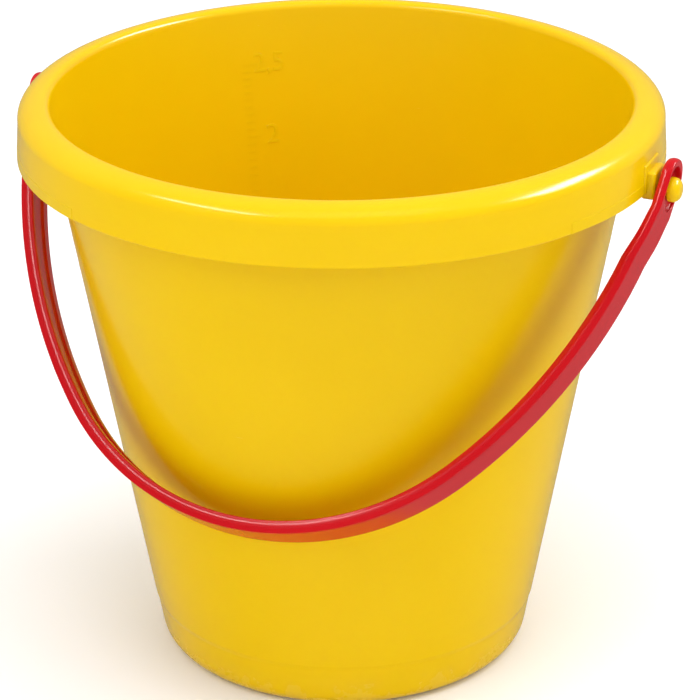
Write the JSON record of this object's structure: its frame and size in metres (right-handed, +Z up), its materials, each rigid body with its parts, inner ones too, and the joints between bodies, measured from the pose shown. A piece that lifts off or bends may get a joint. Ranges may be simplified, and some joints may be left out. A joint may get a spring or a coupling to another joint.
{
  "type": "sand bucket",
  "caption": "Tapered moulded pail with a wide turned-down rim, a litre scale inside and a swinging bail handle on two studs.",
  "frame": {"origin": "centre of the foot ring, on the ground", "axes": "+Z up through the mouth, X along the handle's pivot axis, the handle hangs on the -Y side"},
  "size_m": [0.2144, 0.196, 0.18],
  "materials": {
    "yellow_plastic": "glossy moulded polypropylene, warm yellow",
    "red_plastic": "glossy moulded polypropylene, bright red"
  },
  "bodies": {
    "bucket": {"pail_body": "yellow_plastic", "rim": "yellow_plastic", "pivot_stud_right": "yellow_plastic", "pivot_stud_left": "yellow_plastic"},
    "handle": {"handle": "red_plastic"}
  },
  "joints": [
    {"name": "handle_swing", "type": "hinge", "parent": "bucket", "child": "handle", "pos_m": [0, 0, 0.1634], "axis": [-1, 0, 0], "range_deg": [0, 281.6]}
  ]
}
